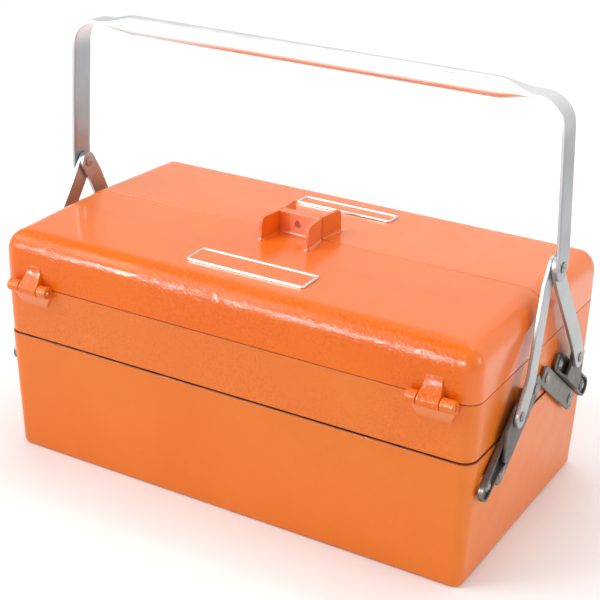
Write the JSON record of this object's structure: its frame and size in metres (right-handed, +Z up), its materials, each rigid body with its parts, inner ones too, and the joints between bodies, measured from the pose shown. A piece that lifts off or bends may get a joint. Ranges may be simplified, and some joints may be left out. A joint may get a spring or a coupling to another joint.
{
  "type": "tool box",
  "caption": "Cantilever metal tool box: deep base, two lidded upper trays that swing out on links, and a bail handle on straps that folds it shut.",
  "frame": {"origin": "centre of the footprint, on the plane of the base's underside", "axes": "+X along the long side, to the right seen from the front; -Y towards the front lid; +Z up"},
  "size_m": [0.4578, 0.263, 0.3604],
  "materials": {
    "orange_paint": "semi-gloss orange enamel, leather grain on the faces",
    "link_steel": "dark zinc plated steel, dull",
    "bare_aluminium": "satin, lightly brushed",
    "rivet_steel": "bright plated, domed",
    "badge_metal": "blank bright plate",
    "pin_steel": "turned steel"
  },
  "bodies": {
    "base": {"base": "orange_paint", "crank_base_rivet_front_right": "rivet_steel", "plain_base_rivet_front_right": "rivet_steel", "crank_base_rivet_front_left": "rivet_steel", "plain_base_rivet_front_left": "rivet_steel", "crank_base_rivet_rear_right": "rivet_steel", "plain_base_rivet_rear_right": "rivet_steel", "crank_base_rivet_rear_left": "rivet_steel", "plain_base_rivet_rear_left": "rivet_steel"},
    "crank_link_front_right": {"crank_link_front_right": "link_steel"},
    "plain_link_front_right": {"plain_link_front_right": "link_steel"},
    "crank_link_front_left": {"crank_link_front_left": "link_steel"},
    "plain_link_front_left": {"plain_link_front_left": "link_steel"},
    "crank_link_rear_right": {"crank_link_rear_right": "link_steel"},
    "plain_link_rear_right": {"plain_link_rear_right": "link_steel"},
    "crank_link_rear_left": {"crank_link_rear_left": "link_steel"},
    "plain_link_rear_left": {"plain_link_rear_left": "link_steel"},
    "front_tray": {"front_tray": "orange_paint", "crank_tray_rivet_front_right": "rivet_steel", "plain_tray_rivet_front_right": "rivet_steel", "hinge_pin_front_right": "pin_steel", "crank_tray_rivet_front_left": "rivet_steel", "plain_tray_rivet_front_left": "rivet_steel", "hinge_pin_front_left": "pin_steel"},
    "front_lid": {"front_lid": "orange_paint", "front_badge": "badge_metal"},
    "rear_tray": {"rear_tray": "orange_paint", "crank_tray_rivet_rear_right": "rivet_steel", "plain_tray_rivet_rear_right": "rivet_steel", "hinge_pin_rear_right": "pin_steel", "crank_tray_rivet_rear_left": "rivet_steel", "plain_tray_rivet_rear_left": "rivet_steel", "hinge_pin_rear_left": "pin_steel"},
    "rear_lid": {"rear_lid": "orange_paint", "rear_badge": "badge_metal"},
    "handle_pivots": {"handle_pivot_right": "rivet_steel", "handle_pivot_left": "rivet_steel"},
    "strap_front_right": {"strap_front_right": "bare_aluminium", "strap_rivet_front_right": "rivet_steel"},
    "strap_front_left": {"strap_front_left": "bare_aluminium", "strap_rivet_front_left": "rivet_steel"},
    "strap_rear_right": {"strap_rear_right": "bare_aluminium", "strap_rivet_rear_right": "rivet_steel"},
    "strap_rear_left": {"strap_rear_left": "bare_aluminium", "strap_rivet_rear_left": "rivet_steel"},
    "handle": {"handle": "bare_aluminium"}
  },
  "joints": [
    {"name": "fold", "type": "hinge", "parent": "base", "child": "crank_link_front_right", "pos_m": [0.217, -0.0968, 0.0828], "axis": [1, 0, 0], "range_deg": [0, 50]},
    {"name": "plain_front_right_turn", "type": "hinge", "parent": "base", "child": "plain_link_front_right", "pos_m": [0.217, -0.0702, 0.0814], "axis": [1, 0, 0], "range_deg": [0, 50]},
    {"name": "crank_front_left_turn", "type": "hinge", "parent": "base", "child": "crank_link_front_left", "pos_m": [-0.217, -0.0968, 0.0828], "axis": [1, 0, 0], "range_deg": [0, 50]},
    {"name": "plain_front_left_turn", "type": "hinge", "parent": "base", "child": "plain_link_front_left", "pos_m": [-0.217, -0.0702, 0.0814], "axis": [1, 0, 0], "range_deg": [0, 50]},
    {"name": "crank_rear_right_turn", "type": "hinge", "parent": "base", "child": "crank_link_rear_right", "pos_m": [0.217, 0.0968, 0.0828], "axis": [-1, 0, 0], "range_deg": [0, 50]},
    {"name": "plain_rear_right_turn", "type": "hinge", "parent": "base", "child": "plain_link_rear_right", "pos_m": [0.217, 0.0702, 0.0814], "axis": [-1, 0, 0], "range_deg": [0, 50]},
    {"name": "crank_rear_left_turn", "type": "hinge", "parent": "base", "child": "crank_link_rear_left", "pos_m": [-0.217, 0.0968, 0.0828], "axis": [-1, 0, 0], "range_deg": [0, 50]},
    {"name": "plain_rear_left_turn", "type": "hinge", "parent": "base", "child": "plain_link_rear_left", "pos_m": [-0.217, 0.0702, 0.0814], "axis": [-1, 0, 0], "range_deg": [0, 50]},
    {"name": "front_tray_level", "type": "hinge", "parent": "crank_link_front_right", "child": "front_tray", "pos_m": [0.217, -0.038, 0.1268], "axis": [1, 0, 0], "range_deg": [-50, 0]},
    {"name": "front_lid_hinge", "type": "hinge", "parent": "front_tray", "child": "front_lid", "pos_m": [0, -0.1262, 0.1555], "axis": [1, 0, 0], "range_deg": [0, 170]},
    {"name": "rear_tray_level", "type": "hinge", "parent": "crank_link_rear_right", "child": "rear_tray", "pos_m": [0.217, 0.038, 0.1268], "axis": [-1, 0, 0], "range_deg": [-50, 0]},
    {"name": "rear_lid_hinge", "type": "hinge", "parent": "rear_tray", "child": "rear_lid", "pos_m": [0, 0.1262, 0.1555], "axis": [-1, 0, 0], "range_deg": [0, 170]},
    {"name": "handle_lower", "type": "slide", "parent": "base", "child": "handle_pivots", "axis": [0, 0, -1], "range_m": [0, 0.0419]},
    {"name": "strap_front_right_turn", "type": "hinge", "parent": "handle_pivots", "child": "strap_front_right", "pos_m": [0.221, 0, 0.2238], "axis": [-1, 0, 0], "range_deg": [0, 36.78]},
    {"name": "strap_front_left_turn", "type": "hinge", "parent": "handle_pivots", "child": "strap_front_left", "pos_m": [-0.221, 0, 0.2238], "axis": [-1, 0, 0], "range_deg": [0, 36.78]},
    {"name": "strap_rear_right_turn", "type": "hinge", "parent": "handle_pivots", "child": "strap_rear_right", "pos_m": [0.221, 0, 0.2238], "axis": [1, 0, 0], "range_deg": [0, 36.78]},
    {"name": "strap_rear_left_turn", "type": "hinge", "parent": "handle_pivots", "child": "strap_rear_left", "pos_m": [-0.221, 0, 0.2238], "axis": [1, 0, 0], "range_deg": [0, 36.78]},
    {"name": "handle_swing", "type": "hinge", "parent": "handle_pivots", "child": "handle", "pos_m": [0, 0, 0.2238], "axis": [1, 0, 0], "range_deg": [-60, 60]}
  ],
  "couplings": [
    {"joint": "plain_front_right_turn", "follows": "fold", "ratio": 1},
    {"joint": "crank_front_left_turn", "follows": "fold", "ratio": 1},
    {"joint": "plain_front_left_turn", "follows": "fold", "ratio": 1},
    {"joint": "crank_rear_right_turn", "follows": "fold", "ratio": 1},
    {"joint": "plain_rear_right_turn", "follows": "fold", "ratio": 1},
    {"joint": "crank_rear_left_turn", "follows": "fold", "ratio": 1},
    {"joint": "plain_rear_left_turn", "follows": "fold", "ratio": 1},
    {"joint": "front_tray_level", "follows": "fold", "ratio": -1},
    {"joint": "rear_tray_level", "follows": "fold", "ratio": -1},
    {"joint": "handle_lower", "follows": "fold", "m_per_rad": 0.047788},
    {"joint": "strap_front_right_turn", "follows": "fold", "ratio": 0.72558},
    {"joint": "strap_front_left_turn", "follows": "fold", "ratio": 0.72558},
    {"joint": "strap_rear_right_turn", "follows": "fold", "ratio": 0.72558},
    {"joint": "strap_rear_left_turn", "follows": "fold", "ratio": 0.72558}
  ]
}
